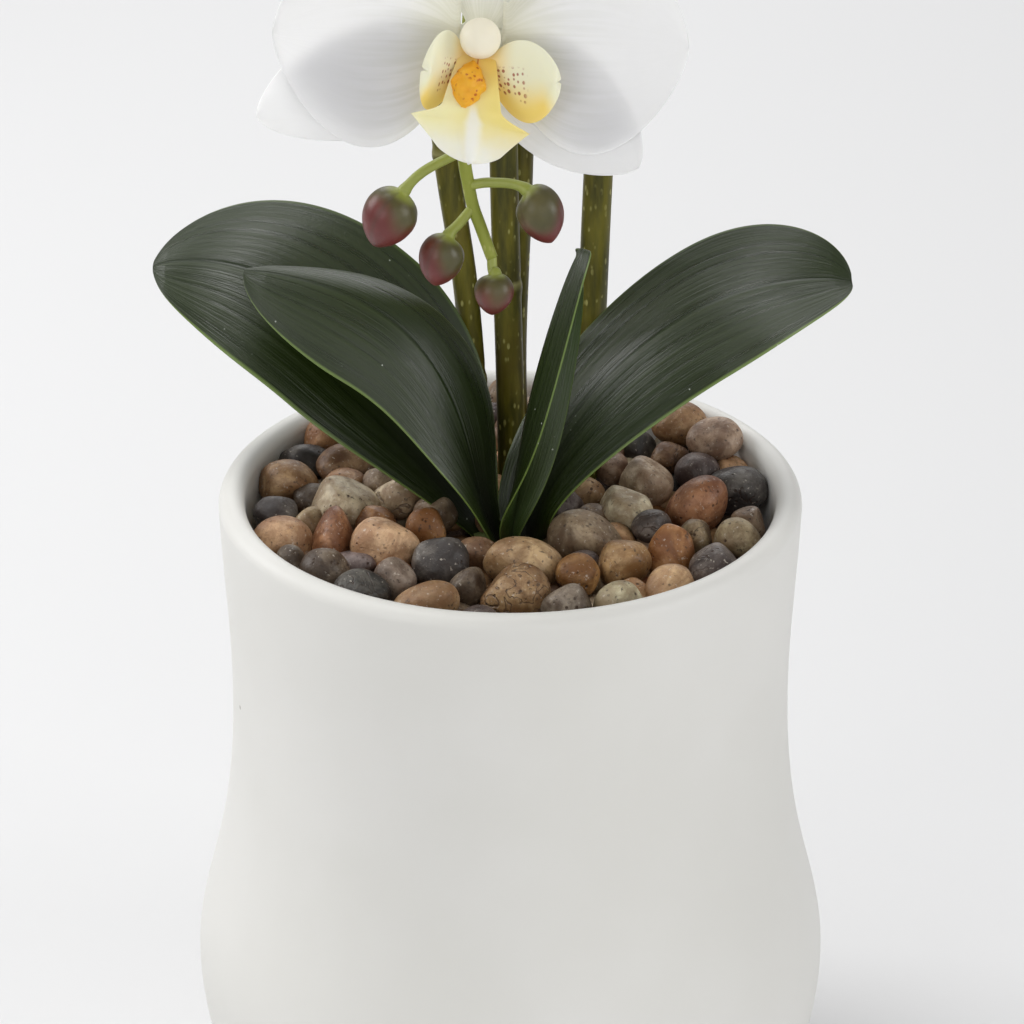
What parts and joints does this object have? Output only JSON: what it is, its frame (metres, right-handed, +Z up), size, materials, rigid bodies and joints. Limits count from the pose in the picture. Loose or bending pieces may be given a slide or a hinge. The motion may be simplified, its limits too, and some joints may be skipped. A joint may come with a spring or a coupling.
{
  "type": "potted moth orchid",
  "caption": "Moth orchid with arching flower spikes, buds and strap leaves, planted in a waisted white ceramic pot topped with river pebbles.",
  "frame": {"origin": "centre of the pot's flat base, where it rests", "axes": "+Z up along the pot's axis, -Y the way the visible flowers face, +X to the viewer's right"},
  "size_m": [0.2418, 0.1626, 0.5363],
  "materials": {
    "ceramic_white": "matte white ceramic with a few fine pits",
    "bark_medium": "loose bark growing medium",
    "river_pebbles": "smooth tumbled river stones in tan, cream, rust and charcoal",
    "crown_tissue": "green plant tissue",
    "leaf_green": "satin dark green leaf with fine lengthwise veins",
    "spike_olive": "olive green stem with pale speckles and node rings",
    "bud_flushed": "satin olive green bud flushed with maroon",
    "pedicel_green": "yellow green flower stalk",
    "petal_white": "soft white petal with faint veins",
    "lip_yellow": "pale yellow lip with orange callus and red brown spots",
    "column_cream": "creamy white column"
  },
  "bodies": {
    "root": {"pot": "ceramic_white", "growing_medium": "bark_medium", "pebble_layer": "river_pebbles", "crown": "crown_tissue", "leaf_left_rear": "leaf_green", "leaf_left_front": "leaf_green", "leaf_centre": "leaf_green", "leaf_right": "leaf_green", "spike_left": "spike_olive", "spike_centre": "spike_olive", "spike_rear": "spike_olive", "spike_right": "spike_olive", "bud_left": "bud_flushed", "bud_right": "bud_flushed", "bud_lower_left": "bud_flushed", "bud_lowest": "bud_flushed", "flower_1_pedicel": "pedicel_green", "flower_1_sepals": "petal_white", "flower_1_petal_left": "petal_white", "flower_1_petal_right": "petal_white", "flower_1_lip": "lip_yellow", "flower_1_column": "column_cream", "flower_2_pedicel": "pedicel_green", "flower_2_sepals": "petal_white", "flower_2_petal_left": "petal_white", "flower_2_petal_right": "petal_white", "flower_2_lip": "lip_yellow", "flower_2_column": "column_cream", "flower_3_pedicel": "pedicel_green", "flower_3_sepals": "petal_white", "flower_3_petal_left": "petal_white", "flower_3_petal_right": "petal_white", "flower_3_lip": "lip_yellow", "flower_3_column": "column_cream", "flower_4_pedicel": "pedicel_green", "flower_4_sepals": "petal_white", "flower_4_petal_left": "petal_white", "flower_4_petal_right": "petal_white", "flower_4_lip": "lip_yellow", "flower_4_column": "column_cream", "flower_5_pedicel": "pedicel_green", "flower_5_sepals": "petal_white", "flower_5_petal_left": "petal_white", "flower_5_petal_right": "petal_white", "flower_5_lip": "lip_yellow", "flower_5_column": "column_cream", "flower_6_pedicel": "pedicel_green", "flower_6_sepals": "petal_white", "flower_6_petal_left": "petal_white", "flower_6_petal_right": "petal_white", "flower_6_lip": "lip_yellow", "flower_6_column": "column_cream", "flower_7_pedicel": "pedicel_green", "flower_7_sepals": "petal_white", "flower_7_petal_left": "petal_white", "flower_7_petal_right": "petal_white", "flower_7_lip": "lip_yellow", "flower_7_column": "column_cream"}
  },
  "joints": []
}
